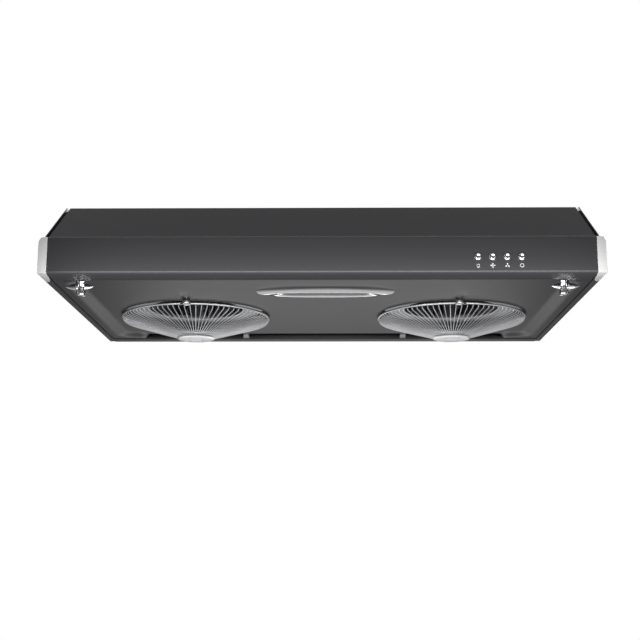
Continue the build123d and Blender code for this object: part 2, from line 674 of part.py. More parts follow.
PAIRED = {
    "scroll_wall": scroll_wall(), "inlet_plate": inlet_plate(), "motor": motor(), "fan_wheel": fan_wheel(),
    "fan_hub": fan_hub(), "motor_shaft": motor_shaft(), "wheel_nut": wheel_nut(),
    "guard_ring": guard_ring(), "guard_hub": guard_hub(), "guard_clip": guard_clip(),
}
for side, s in SIDES:
    save(side_plate(s), f"{side}_side_plate")
    save(end_cap(s), f"{side}_end_cap")
    save(wing_latch(s), f"{side}_wing_latch")
    spokes = guard_wires()
    if s < 0:
        spokes = [mirror(w, about=Plane.YZ) for w in spokes]
    save(Compound(children=spokes), f"{side}_guard_wires")
    for name, shape in PAIRED.items():
        save(shape if s > 0 else mirror(shape, about=Plane.YZ), f"{side}_{name}")
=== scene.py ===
"""Under cabinet range hood: the visible pieces, their finishes and a plain studio.

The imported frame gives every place. Pieces are surfaces worked out as whole arrays: a function of
two parameters on a grid, or a profile carried along a path.
"""
import json
from math import cos, pi, radians, sin

import bpy
import numpy as np
from mathutils import Matrix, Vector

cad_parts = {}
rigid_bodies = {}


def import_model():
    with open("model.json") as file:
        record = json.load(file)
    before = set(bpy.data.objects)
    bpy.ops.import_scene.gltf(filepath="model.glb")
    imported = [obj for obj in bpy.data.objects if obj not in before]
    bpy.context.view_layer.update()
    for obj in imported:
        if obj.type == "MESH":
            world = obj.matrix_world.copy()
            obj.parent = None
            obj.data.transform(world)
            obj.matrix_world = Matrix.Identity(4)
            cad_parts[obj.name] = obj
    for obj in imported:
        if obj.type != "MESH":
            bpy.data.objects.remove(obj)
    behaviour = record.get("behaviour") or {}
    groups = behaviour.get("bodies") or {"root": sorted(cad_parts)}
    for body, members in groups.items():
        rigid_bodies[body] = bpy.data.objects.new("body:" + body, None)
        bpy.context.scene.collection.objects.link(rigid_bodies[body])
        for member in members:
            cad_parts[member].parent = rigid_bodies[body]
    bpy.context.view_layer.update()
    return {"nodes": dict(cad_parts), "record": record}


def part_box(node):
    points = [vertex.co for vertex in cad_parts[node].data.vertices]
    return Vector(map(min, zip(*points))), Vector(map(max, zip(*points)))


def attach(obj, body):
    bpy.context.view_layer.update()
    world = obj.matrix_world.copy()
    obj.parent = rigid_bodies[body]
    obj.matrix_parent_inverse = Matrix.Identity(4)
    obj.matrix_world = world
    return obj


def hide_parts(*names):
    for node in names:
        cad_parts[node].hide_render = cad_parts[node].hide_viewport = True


bl_info = {
    "name": "Under cabinet range hood",
    "version": (1, 0, 0),
    "blender": (4, 5, 0),
    "location": "3D View > Sidebar > Range Hood",
    "description": "Builds the hood's visible pieces around the packed frame",
    "category": "Object",
}

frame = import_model()

SIDES = (("left", -1.0), ("right", 1.0))
BUTTONS = ("light", "high_speed", "low_speed", "off")


def span(node):
    """A node's lowest and highest corners as arrays."""
    low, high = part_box(node)
    return np.array(low), np.array(high)


def middle(node):
    low, high = span(node)
    return (low + high) / 2


FRONT_LOW, FRONT_HIGH = span("front_panel")
PAN_LOW, PAN_HIGH = span("drop_pan")
RIM_Z = FRONT_LOW[2]
FRONT_Y = FRONT_LOW[1]
PANEL_X = span("top_panel")[1][0]
GUARD_AT = {side: middle(f"{side}_fan_wheel") for side, _ in SIDES}
LEAF_SHIFT = 0.003              # a latch's leaf has its middle this far outboard of the spindle
LATCH_AT = {side: middle(f"{side}_wing_latch") - [sign * LEAF_SHIFT, 0, 0]
            for side, sign in SIDES}

# openings, in metres
BUTTON_HOLE_R = 0.0041
KEYHOLE_R = 0.0065              # in the keeper flange, over a latch's crossbar
GUARD_OPENING_R = 0.1165
CLIP_HOLE_R = 0.0042
LATCH_HOLE_R = 0.0041
LAMP_WINDOW = (0.126, 0.022)    # length and depth
LAMP_CUT = (0.130, 0.026)       # the pan's opening for the lamp
SLOT_X = 0.305                  # half length of the gap behind the pan
SLOT_DEPTH = 0.009


# ---------------------------------------------------------------- mesh helpers
def mesh_object(name, verts, faces):
    """An object at the origin from arrays of corners and faces."""
    mesh = bpy.data.meshes.new(name)
    mesh.from_pydata(np.asarray(verts, float).tolist(), [], [list(map(int, f)) for f in faces])
    mesh.update()
    obj = bpy.data.objects.new(name, mesh)
    bpy.context.scene.collection.objects.link(obj)
    return obj


def grid_faces(rows, cols, wrap_rows=False, wrap_cols=False):
    """Quads of a rows by cols grid of points, wrapped round where a direction is closed."""
    i = np.arange(rows if wrap_rows else rows - 1)
    j = np.arange(cols if wrap_cols else cols - 1)
    a, b = np.meshgrid(i, j, indexing="ij")
    a2 = (a + 1) % rows
    b2 = (b + 1) % cols
    quads = np.stack([a * cols + b, a2 * cols + b, a2 * cols + b2, a * cols + b2], -1)
    return quads.reshape(-1, 4)


def together(parts):
    """Several (verts, faces) pairs as one."""
    verts, faces, start = [], [], 0
    for v, f in parts:
        verts.append(np.asarray(v, float).reshape(-1, 3))
        faces += [[int(k) + start for k in face] for face in f]
        start += len(verts[-1])
    return np.concatenate(verts), faces


def turned(profile, steps=48):
    """A closed (r, z) profile turned about Z: x = r cos a, y = r sin a."""
    r, z = np.asarray(profile, float).T
    a = np.linspace(0, 2 * pi, steps, endpoint=False)
    p = np.stack([np.outer(np.cos(a), r), np.outer(np.sin(a), r), np.tile(z, (steps, 1))], -1)
    return p.reshape(-1, 3), grid_faces(steps, len(r), True, True)


def dome(profile, steps=48):
    """A profile that starts and ends on the axis, turned about Z and closed at both poles."""
    r, z = np.asarray(profile, float)[1:-1].T
    a = np.linspace(0, 2 * pi, steps, endpoint=False)
    p = np.stack([np.outer(np.cos(a), r), np.outer(np.sin(a), r), np.tile(z, (steps, 1))], -1)
    verts = np.concatenate([p.reshape(-1, 3), [[0, 0, profile[0][1]], [0, 0, profile[-1][1]]]])
    count = len(r)
    faces = grid_faces(steps, count, True, False).tolist()
    first, last = steps * count, steps * count + 1
    for k in range(steps):
        n = (k + 1) % steps
        faces.append([first, n * count, k * count])
        faces.append([last, k * count + count - 1, n * count + count - 1])
    return verts, faces


def tube(path, radius, sides=8, closed=False):
    """A round wire along a path: circles square to the path, one at each of its points."""
    path = np.asarray(path, float)
    if closed:
        along = np.roll(path, -1, 0) - np.roll(path, 1, 0)
    else:
        along = np.gradient(path, axis=0)
    along /= np.linalg.norm(along, axis=1, keepdims=True)
    up = np.array([0.0, 0.0, 1.0])
    side = np.cross(along, up)
    short = np.linalg.norm(side, axis=1) < 1e-6
    side[short] = np.array([1.0, 0.0, 0.0])
    side /= np.linalg.norm(side, axis=1, keepdims=True)
    lift = np.cross(side, along)
    a = np.linspace(0, 2 * pi, sides, endpoint=False)
    ring = np.cos(a)[None, :, None] * side[:, None] + np.sin(a)[None, :, None] * lift[:, None]
    points = path[:, None] + radius * ring
    faces = grid_faces(len(path), sides, closed, True).tolist()
    if not closed:
        last = (len(path) - 1) * sides
        faces.append(list(range(sides))[::-1])
        faces.append(list(range(last, last + sides)))
    return points.reshape(-1, 3), faces


def slab(outline, z0, z1):
    """A flat outline in (x, y), counter-clockwise, given a thickness."""
    xy = np.asarray(outline, float)
    n = len(xy)
    low = np.column_stack([xy, np.full(n, z0)])
    high = np.column_stack([xy, np.full(n, z1)])
    faces = [list(range(n))[::-1], list(range(n, 2 * n))]
    faces += [[k, (k + 1) % n, n + (k + 1) % n, n + k] for k in range(n)]
    return np.concatenate([low, high]), faces


def block(x, y, z):
    """A box between the low and high ends given for X, Y and Z."""
    return slab([(x[0], y[0]), (x[1], y[0]), (x[1], y[1]), (x[0], y[1])], *z)


def about(middle_at, half):
    """The low and high ends of a length, from its middle and its half."""
    return middle_at - half, middle_at + half


def plug(radius, half, steps):
    """A closed cylinder on Z, made to be cut out of a piece."""
    return dome([(0, -half), (radius, -half), (radius, half), (0, half)], steps)


def prism(outline, y0, y1):
    """A flat outline in (x, z) given a depth along Y."""
    xz = np.asarray(outline, float)
    n = len(xz)
    verts = np.concatenate([np.column_stack([xz[:, 0], np.full(n, y), xz[:, 1]])
                            for y in (y0, y1)])
    faces = [list(range(n)), list(range(n, 2 * n))[::-1]]
    faces += [[k, (k + 1) % n, n + (k + 1) % n, n + k] for k in range(n)]
    return verts, faces


def repeated(part, turns):
    """Copies of a part, turned about Z by each angle: (x, y) turned, z kept."""
    single, quads = part
    ca, sa = np.cos(turns)[:, None], np.sin(turns)[:, None]
    x = single[:, 0] * ca - single[:, 1] * sa
    y = single[:, 0] * sa + single[:, 1] * ca
    z = np.tile(single[:, 2], (len(turns), 1))
    faces = [[int(v) + k * len(single) for v in q] for k in range(len(turns)) for q in quads]
    return np.stack([x, y, z], -1).reshape(-1, 3), faces


def carried(profile, x0, x1, steps=2):
    """A closed (y, z) profile carried along X, with a flat face at each end."""
    yz = np.asarray(profile, float)
    n = len(yz)
    xs = np.linspace(x0, x1, steps)
    p = np.concatenate([np.column_stack([np.full(n, x), yz]) for x in xs])
    faces = grid_faces(steps, n, False, True).tolist()
    faces.append(list(range(n))[::-1])
    faces.append([(steps - 1) * n + k for k in range(n)])
    return p, faces


def rounded_path(points, radii, steps=8):
    """A line through points whose corners are arcs tangent to both runs."""
    pts = np.asarray(points, float)
    out = [pts[0]]
    for k in range(1, len(pts) - 1):
        a = pts[k - 1] - pts[k]
        b = pts[k + 1] - pts[k]
        a /= np.linalg.norm(a)
        b /= np.linalg.norm(b)
        half = np.arccos(np.clip(a @ b, -1, 1)) / 2
        reach = radii[k - 1] / np.tan(half)
        centre = pts[k] + (a + b) / np.linalg.norm(a + b) * radii[k - 1] / np.sin(half)
        start = pts[k] + a * reach - centre
        end = pts[k] + b * reach - centre
        turn = np.arctan2(start[0] * end[1] - start[1] * end[0], start @ end)
        t = np.linspace(0, turn, steps)
        out += [centre + start * cos(q) + np.array([-start[1], start[0]]) * sin(q) for q in t]
    out.append(pts[-1])
    return np.array(out)


def thickened(line, thick):
    """A sheet's closed profile: the line and its copy moved sideways by the thickness."""
    run = np.gradient(line, axis=0)
    run /= np.linalg.norm(run, axis=1, keepdims=True)
    side = np.column_stack([run[:, 1], -run[:, 0]])
    return np.concatenate([line, (line + side * thick)[::-1]])


def placed(part, at, spin=None):
    """A part's corners turned by a matrix and moved to a place."""
    verts, faces = part
    verts = np.asarray(verts, float).reshape(-1, 3)
    if spin is not None:
        verts = verts @ np.array(spin.to_3x3()).T
    return verts + np.asarray(at, float), faces


def mirrored_x(part):
    """A part reflected in the YZ plane, with its faces turned to point outwards again."""
    verts, faces = part
    verts = np.asarray(verts, float).reshape(-1, 3) * np.array([-1.0, 1.0, 1.0])
    return verts, [list(f)[::-1] for f in faces]


FACE_FRONT = Matrix.Rotation(radians(90), 4, "X")      # turns +Z to -Y


def shade(obj, degrees=35.0):
    """Smooth shading with sharp edges kept."""
    obj.data.shade_smooth()
    obj.data.set_sharp_from_angle(angle=radians(degrees))


def outward(obj):
    """Normals recalculated to point outwards."""
    bpy.context.view_layer.objects.active = obj
    bpy.ops.object.select_all(action="DESELECT")
    obj.select_set(True)
    bpy.ops.object.mode_set(mode="EDIT")
    bpy.ops.mesh.select_all(action="SELECT")
    bpy.ops.mesh.normals_make_consistent(inside=False)
    bpy.ops.object.mode_set(mode="OBJECT")
    obj.select_set(False)


def cut(obj, *cutters):
    """Cuts closed shapes out of a piece, then removes the cutters."""
    bpy.context.view_layer.objects.active = obj
    for cutter in cutters:
        outward(cutter)
        bpy.context.view_layer.objects.active = obj
        change = obj.modifiers.new("cut", "BOOLEAN")
        change.operation = "DIFFERENCE"
        change.solver = "EXACT"
        change.object = cutter
        bpy.ops.object.modifier_apply(modifier=change.name)
        bpy.data.objects.remove(cutter)


def piece(name, part, body, finish, replaces=(), degrees=35.0, bevel=None):
    """One visible piece: its mesh, its body and its finish."""
    obj = part if isinstance(part, bpy.types.Object) else mesh_object(name, *part)
    obj.name = name
    outward(obj)
    if bevel:
        change = obj.modifiers.new("edges", "BEVEL")
        change.width = bevel
        change.segments = 3
        change.limit_method = "ANGLE"
        change.angle_limit = radians(40)
        bpy.context.view_layer.objects.active = obj
        bpy.ops.object.modifier_apply(modifier=change.name)
    shade(obj, degrees)
    obj.data.materials.clear()
    obj.data.materials.append(finish)
    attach(obj, body)
    if replaces:
        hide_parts(*replaces)
    return obj


# ---------------------------------------------------------------- materials
def node_material(name):
    """An empty node material with a Principled shader wired to the output."""
    mat = bpy.data.materials.get(name)
    if mat:
        return mat, None, None
    mat = bpy.data.materials.new(name)
    mat.use_nodes = True
    nodes = mat.node_tree.nodes
    shader = nodes["Principled BSDF"]
    return mat, mat.node_tree, shader


def noise(tree, scale, detail=3.0, stretch=(1, 1, 1)):
    """Noise on Object coordinates."""
    coords = tree.nodes.new("ShaderNodeTexCoord")
    mapping = tree.nodes.new("ShaderNodeMapping")
    mapping.inputs["Scale"].default_value = stretch
    tex = tree.nodes.new("ShaderNodeTexNoise")
    tex.inputs["Scale"].default_value = scale
    tex.inputs["Detail"].default_value = detail
    tree.links.new(coords.outputs["Object"], mapping.inputs["Vector"])
    tree.links.new(mapping.outputs["Vector"], tex.inputs["Vector"])
    return tex


def spread(tree, source, low, high, socket):
    """Maps a 0 to 1 value to a range on a socket."""
    ramp = tree.nodes.new("ShaderNodeMapRange")
    ramp.inputs["From Min"].default_value = 0.3
    ramp.inputs["From Max"].default_value = 0.7
    ramp.inputs["To Min"].default_value = low
    ramp.inputs["To Max"].default_value = high
    tree.links.new(source, ramp.inputs["Value"])
    tree.links.new(ramp.outputs["Result"], socket)


def mottled(tree, source, dark, light, socket):
    """A colour that drifts between two tones."""
    ramp = tree.nodes.new("ShaderNodeValToRGB")
    ramp.color_ramp.elements[0].position = 0.35
    ramp.color_ramp.elements[1].position = 0.65
    ramp.color_ramp.elements[0].color = (*dark, 1)
    ramp.color_ramp.elements[1].color = (*light, 1)
    tree.links.new(source, ramp.inputs["Fac"])
    tree.links.new(ramp.outputs["Color"], socket)


def bumped(tree, shader, source, height, distance=0.0002):
    bump = tree.nodes.new("ShaderNodeBump")
    bump.inputs["Strength"].default_value = height
    bump.inputs["Distance"].default_value = distance
    tree.links.new(source, bump.inputs["Height"])
    tree.links.new(bump.outputs["Normal"], shader.inputs["Normal"])


def surface(name, dark, light, rough, metal=0.0, grain=700.0, height=0.05, stretch=(1, 1, 1),
            specular=0.5, coat=0.0, patch=9.0):
    """A finish: two close tones, a little change of gloss and a fine grain."""
    mat, tree, shader = node_material(name)
    if tree is None:
        return mat
    shader.inputs["Metallic"].default_value = metal
    shader.inputs["Specular IOR Level"].default_value = specular
    shader.inputs["Coat Weight"].default_value = coat
    shader.inputs["Coat Roughness"].default_value = 0.12
    broad = noise(tree, patch)
    mottled(tree, broad.outputs["Fac"], dark, light, shader.inputs["Base Color"])
    fine = noise(tree, grain, 2.0, stretch)
    spread(tree, fine.outputs["Fac"], rough - 0.03, rough + 0.03, shader.inputs["Roughness"])
    bumped(tree, shader, fine.outputs["Fac"], height)
    return mat


def grey(value, tint=(1.0, 1.0, 1.02)):
    return tuple(value * t for t in tint)


def dark_paint():
    """Satin dark grey powder coat with a faint orange-peel grain."""
    s = bpy.context.scene.hood_finish
    v = s.paint_tone
    return surface("dark_paint", grey(v * 0.96), grey(v * 1.04), s.paint_roughness, grain=420.0,
                   height=0.04, specular=0.5)


def silver_plastic():
    return surface("silver_plastic", grey(0.62), grey(0.66), 0.38, metal=0.35, grain=1600.0,
                   height=0.03)


def chrome():
    return surface("chrome_trim", grey(0.80), grey(0.84), 0.13, metal=1.0, grain=300.0,
                   height=0.01)


def plated_wire():
    return surface("plated_wire", grey(0.78), grey(0.84), 0.34, metal=1.0, grain=500.0,
                   height=0.03)


def zinc_fitting():
    return surface("zinc_fitting", grey(0.76), grey(0.83), 0.22, metal=1.0, grain=350.0,
                   height=0.04)


def zinc_steel():
    return surface("zinc_steel", (0.46, 0.47, 0.46), (0.53, 0.53, 0.50), 0.34, metal=1.0,
                   grain=800.0, height=0.05)


def galvanised():
    return surface("galvanised_steel", grey(0.36), grey(0.46), 0.42, metal=1.0, grain=160.0,
                   height=0.04, patch=70.0)


def wheel_steel():
    return surface("wheel_steel", grey(0.40), grey(0.50), 0.38, metal=1.0, grain=300.0,
                   height=0.03, patch=40.0)


def black_plastic():
    return surface("black_plastic", grey(0.018), grey(0.024), 0.45, grain=900.0, height=0.06)


def black_rubber():
    return surface("black_rubber", grey(0.014), grey(0.02), 0.75, grain=1200.0, height=0.08)


def motor_enamel():
    return surface("motor_enamel", grey(0.03), grey(0.04), 0.4, grain=260.0, height=0.1)


def icon_ink():
    return surface("icon_ink", grey(0.5), grey(0.56), 0.5, grain=900.0, height=0.01)


def lamp_glass():
    """Clear moulded lens with fine ribs across it."""
    mat, tree, shader = node_material("lamp_glass")
    if tree is None:
        return mat
    shader.inputs["Transmission Weight"].default_value = 0.8
    shader.inputs["IOR"].default_value = 1.46
    haze = noise(tree, 60.0)
    mottled(tree, haze.outputs["Fac"], (0.10, 0.105, 0.11), (0.15, 0.155, 0.16),
            shader.inputs["Base Color"])
    coords = tree.nodes.new("ShaderNodeTexCoord")
    ribs = tree.nodes.new("ShaderNodeTexWave")
    ribs.wave_type = "BANDS"
    ribs.bands_direction = "X"
    ribs.inputs["Scale"].default_value = 110.0
    tree.links.new(coords.outputs["Object"], ribs.inputs["Vector"])
    spread(tree, haze.outputs["Fac"], 0.3, 0.36, shader.inputs["Roughness"])
    bumped(tree, shader, ribs.outputs["Fac"], 0.35, 0.0006)
    return mat


def bulb_glass():
    return surface("bulb_glass", (0.78, 0.78, 0.75), (0.86, 0.86, 0.83), 0.3, grain=500.0,
                   height=0.02)


FINISHES = {
    "dark_paint": dark_paint, "silver_plastic": silver_plastic, "chrome_trim": chrome,
    "lamp_glass": lamp_glass, "bulb_glass": bulb_glass, "guard_wire": plated_wire,
    "zinc_fitting": zinc_fitting, "black_rubber": black_rubber, "black_plastic": black_plastic,
    "motor_steel": motor_enamel, "zinc_steel": zinc_steel, "galvanised_steel": galvanised,
}
NODE_SLOT = {s["node"]: s["material_slot"] for s in frame["record"]["subparts"]}


# ---------------------------------------------------------------- settings
class HoodFinish(bpy.types.PropertyGroup):
    """Colours and gloss that a user would change."""
    paint_tone: bpy.props.FloatProperty(
        name="Paint tone", description="Linear grey of the body paint",
        default=0.026, min=0.0, max=1.0)
    paint_roughness: bpy.props.FloatProperty(
        name="Paint roughness", description="Gloss of the body paint, 0 is a mirror",
        default=0.23, min=0.0, max=1.0)


class HoodShape(bpy.types.PropertyGroup):
    """Sizes of the pieces made here."""
    sheet: bpy.props.FloatProperty(
        name="Sheet thickness", description="Thickness of the body's sheet metal",
        default=0.001, unit="LENGTH")
    fascia_height: bpy.props.FloatProperty(
        name="Fascia height", description="Height of the upright front face",
        default=0.05, unit="LENGTH")
    setback: bpy.props.FloatProperty(
        name="Set-back", description="Front edge of the top face, behind the front face",
        default=0.114, unit="LENGTH")
    rail_depth: bpy.props.FloatProperty(
        name="Rail depth", description="Depth of the front rail's underside",
        default=0.041, unit="LENGTH")
    wire: bpy.props.FloatProperty(
        name="Spoke wire", description="Radius of a guard's spoke wire",
        default=0.00065, unit="LENGTH")
    spokes: bpy.props.IntProperty(
        name="Spokes", description="Spokes in one wire guard", default=84, min=12)
    blades: bpy.props.IntProperty(
        name="Blades", description="Blades on one blower wheel", default=40, min=8)


class HoodStudio(bpy.types.PropertyGroup):
    """Camera and lights."""
    camera_at: bpy.props.FloatVectorProperty(
        name="Camera place", description="Where the camera stands, in the hood's frame",
        default=(0.017, -1.780, -0.482), subtype="TRANSLATION")
    camera_turn: bpy.props.FloatVectorProperty(
        name="Camera turn", description="Yaw, pitch and roll of the camera",
        default=(-0.0127, 0.1972, 0.0012), subtype="EULER")
    lens: bpy.props.FloatProperty(
        name="Lens", description="Focal length on a 36 mm sensor, in millimetres",
        default=64.13)
    surround: bpy.props.FloatProperty(
        name="Surround", description="How bright the studio's walls are, as the paint sees them",
        default=0.5)


# brightness of the studio's walls at rising angles above the floor, ahead of and behind the hood
FRONT_WALL = ((-90, 1.1), (-40, 1.4), (-10, 0.7), (4, 0.3), (40, 0.3), (90, 0.5))
BACK_WALL = ((-90, 1.3), (-40, 1.2), (-24, 0.4), (-14, 0.1), (0, 0.1), (8, 1.0), (38, 1.0),
             (50, 0.06))


# ---------------------------------------------------------------- operators
class MakeFrontShell(bpy.types.Operator):
    """Slanted panel, fascia, front rail and keeper flange, folded from one sheet"""
    bl_idname = "hood.front_shell"
    bl_label = "Front shell"

    def execute(self, context):
        s = context.scene.hood_shape
        low, high = FRONT_LOW, FRONT_HIGH
        y0, z0 = low[1], low[2]
        keeper = z0 + 0.012
        rear = high[1]
        line = rounded_path(
            [(y0 + 0.075, keeper), (y0 + s.rail_depth, keeper), (y0 + s.rail_depth, z0), (y0, z0),
             (y0, z0 + s.fascia_height), (y0 + s.setback, high[2]), (rear, high[2])],
            [0.002, 0.002, 0.0035, 0.004, 0.008], 10)
        shell = mesh_object("front_shell", *carried(thickened(line, s.sheet), low[0], high[0], 2))
        outward(shell)
        holes = []
        for use in BUTTONS:
            c = middle(f"{use}_button")
            part = placed(plug(BUTTON_HOLE_R, 0.01, 32), (c[0], y0, c[2]), FACE_FRONT)
            holes.append(mesh_object("hole", *part))
        for side, _ in SIDES:
            c = LATCH_AT[side]
            part = placed(plug(KEYHOLE_R, 0.01, 32), (c[0], c[1], keeper))
            holes.append(mesh_object("hole", *part))
        clear = 0.001
        for ends in ((-high[0] - clear, -PANEL_X), (PANEL_X, high[0] + clear)):
            holes.append(mesh_object("hole", *block(
                ends, (y0 - clear, rear + clear),
                (z0 + s.fascia_height + 0.0005, high[2] + clear))))
        cut(shell, *holes)
        piece("front_shell", shell, "body", dark_paint(), ["front_panel"], 28.0)
        return {"FINISHED"}


def eased(t):
    """0 to 1 with level ends: 3 t squared less 2 t cubed."""
    t = np.clip(t, 0, 1)
    return t * t * (3 - 2 * t)


class MakeDropPan(bpy.types.Operator):
    """Pressed bottom pan: an edge band, a soft cove and a flat middle with its openings"""
    bl_idname = "hood.drop_pan"
    bl_label = "Drop pan"

    def execute(self, context):
        low, high = PAN_LOW, PAN_HIGH
        band, cove, rear_band = 0.011, 0.020, 0.005
        x = np.linspace(low[0], high[0], 221)
        y = np.linspace(low[1], high[1], 133)
        gx, gy = np.meshgrid(x, y, indexing="ij")
        half = (high[0] - low[0]) / 2 - band
        dx = half - np.abs(gx)
        slot_y = high[1] - SLOT_DEPTH
        blend = 0.012                               # half the run where the rear cove fades out
        open_rear = eased((SLOT_X + blend - np.abs(gx)) / (2 * blend))
        dy = np.minimum(gy - low[1], high[1] - rear_band - gy + open_rear * 0.05)
        round_r = 0.030
        ex = np.maximum(round_r - dx, 0)
        ey = np.maximum(round_r - dy, 0)
        corner = (ex > 0) & (ey > 0)
        inside = np.where(corner, round_r - np.hypot(ex, ey), np.minimum(dx, dy))
        lift = eased(inside / cove)
        sheet = context.scene.hood_shape.sheet
        under = low[2] + (high[2] - low[2] - sheet) * lift
        grid = np.stack([gx, gy, under], -1).reshape(-1, 3)
        top = grid + np.array([0, 0, sheet])
        nu, nv = len(x), len(y)
        quads = grid_faces(nu, nv)
        faces = [q[::-1] for q in quads.tolist()] + (quads + nu * nv).tolist()
        index = np.arange(nu * nv).reshape(nu, nv)
        edge = np.concatenate([index[:-1, 0], index[-1, :-1], index[:0:-1, -1], index[0, :0:-1]])
        n = len(edge)
        shift = nu * nv
        faces += [[edge[k], edge[(k + 1) % n], edge[(k + 1) % n] + shift, edge[k] + shift]
                  for k in range(n)]
        pan = mesh_object("pan", np.concatenate([grid, top]), faces)
        outward(pan)
        cutters = []
        z = high[2]
        for side, _ in SIDES:
            c = GUARD_AT[side]
            clip_y = middle(f"{side}_guard_clip")[1]
            latch = LATCH_AT[side]
            for hx, hy, r, steps in ((c[0], c[1], GUARD_OPENING_R, 128),
                                     (c[0], clip_y, CLIP_HOLE_R, 24),
                                     (latch[0], latch[1], LATCH_HOLE_R, 24)):
                hole = placed(plug(r, 0.02, steps), (hx, hy, z))
                cutters.append(mesh_object("hole", *hole))
        c = middle("lamp_lens")
        through = about(z, 0.02)
        for window in ((about(c[0], LAMP_CUT[0] / 2), about(c[1], LAMP_CUT[1] / 2)),
                       ((-SLOT_X, SLOT_X), (slot_y, high[1] + 0.01))):
            cutters.append(mesh_object("hole", *block(*window, through)))
        cut(pan, *cutters)
        piece("pressed_pan", pan, "drop_pan_assembly", dark_paint(), ["drop_pan"],
              30.0)
        return {"FINISHED"}


# corner radius, front plate, cheek, top web's width and thickness, and sole
CAP_SIZES = (0.0085, 0.0036, 0.0022, 0.0078, 0.0024, 0.0014)


class MakeEndCaps(bpy.types.Operator):
    """Silver plastic corner pieces with a rounded upper corner, wrapping under the fascia"""
    bl_idname = "hood.end_caps"
    bl_label = "End caps"

    def execute(self, context):
        for side, s in SIDES:
            low, high = span("right_end_cap")
            corner, plate_t, cheek_t, web_w, web_t, sole_t = CAP_SIZES
            a = np.linspace(0, pi / 2, 9)
            arc = list(zip(high[0] - corner + corner * np.cos(a),
                           high[2] - corner + corner * np.sin(a)))
            rear_face = low[1] + plate_t
            x_in = high[0] - cheek_t
            plate, cheek = (
                prism([(x, low[2]), (high[0], low[2])] + arc + [(x, high[2])], *depth)
                for x, depth in ((low[0], (low[1], rear_face)), (x_in, (rear_face, high[1]))))
            web = block((high[0] - web_w, x_in), (rear_face, high[1]), (high[2] - web_t, high[2]))
            sole = slab([(low[0], rear_face), (x_in, rear_face), (x_in, high[1]),
                         (high[0] - 0.0046, high[1]), (high[0] - 0.0076, high[1] - 0.0086)],
                        low[2], low[2] + sole_t)
            part = together([plate, cheek, web, sole])
            part = part if s > 0 else mirrored_x(part)
            obj = mesh_object(f"{side}_corner_cap", *part)
            piece(f"{side}_corner_cap", obj, "body", silver_plastic(),
                  [f"{side}_end_cap"], 30.0, bevel=0.0008)
        return {"FINISHED"}


class MakeButtons(bpy.types.Operator):
    """Push buttons: a domed cap with a groove, each in a turned bezel ring"""
    bl_idname = "hood.buttons"
    bl_label = "Buttons"

    def execute(self, context):
        rings = []
        for use in BUTTONS:
            c = middle(f"{use}_button")
            a = np.linspace(0, pi / 2, 7)
            r, edge, stem_r = 0.0038, 0.0009, 0.0014
            cap = [(0, 0.0018), (0.0008, 0.0019), (0.0015, 0.0022), (0.0020, 0.0026),
                   (0.0024, 0.0030)]
            cap += [(r - edge + edge * sin(t), 0.0022 + edge * cos(t)) for t in a]
            cap += [(r, -0.004), (stem_r, -0.004), (stem_r, -0.016), (0, -0.016)]
            part = placed(dome(cap, 40), (c[0], FRONT_Y, c[2]), FACE_FRONT)
            piece(f"{use}_cap", part, f"{use}_key", chrome(),
                  [f"{use}_button"], 40.0)
            bez = [(0.00385, -0.005), (0.00385, 0.0004), (0.0042, 0.0011)]
            bez += [(0.0045, 0.0012), (0.0048, 0.0009), (0.0049, 0.0002), (0.0049, 0.00001)]
            bez += [(0.0041, 0.00001), (0.0041, -0.005)]
            rings.append(placed(turned(bez, 40), (c[0], FRONT_Y, c[2]), FACE_FRONT))
        piece("bezel_rings", together(rings), "body", chrome(),
              ["button_bezels"], 40.0)
        return {"FINISHED"}


class MakeIcons(bpy.types.Operator):
    """Small generic signs printed under the buttons: lamp, fast fan, slow fan and off"""
    bl_idname = "hood.icons"
    bl_label = "Icons"

    def execute(self, context):
        t0, t1 = 0.00002, 0.00014
        size = 0.0034

        def petals(count):
            parts = []
            for k in range(count):
                a = np.linspace(0, 2 * pi, 16, endpoint=False)
                x = 0.55 * size + 0.45 * size * np.cos(a)
                y = 0.26 * size * np.sin(a) * (1 + 0.35 * np.cos(a))
                q = 2 * pi * k / count + pi / 2
                p = np.column_stack([x * cos(q) - y * sin(q), x * sin(q) + y * cos(q)])
                parts.append(slab(p, t0, t1))
            return parts

        def ring(r, w):
            return [turned([(r - w, t0), (r - w, t1), (r, t1), (r, t0)], 32)]

        signs = {
            "light": ring(size * 0.62, size * 0.2) + [
                slab([(-size * .3, -size), (size * .3, -size), (size * .3, -size * .72),
                      (-size * .3, -size * .72)], t0, t1)],
            "high_speed": petals(4),
            "low_speed": petals(3),
            "off": ring(size * 0.8, size * 0.26),
        }
        parts = []
        for use, drawn in signs.items():
            c = middle(f"{use}_button")
            for part in drawn:
                parts.append(placed(part, (c[0], FRONT_Y, RIM_Z + 0.0100), FACE_FRONT))
        piece("button_signs", together(parts), "body", icon_ink(), (), 40.0)
        return {"FINISHED"}


def boat_half(depth, t):
    """Half depth of the pointed oval at t from -1 to 1: it falls off as the cube of t."""
    return depth / 2 * (1 - np.abs(t) ** 3)


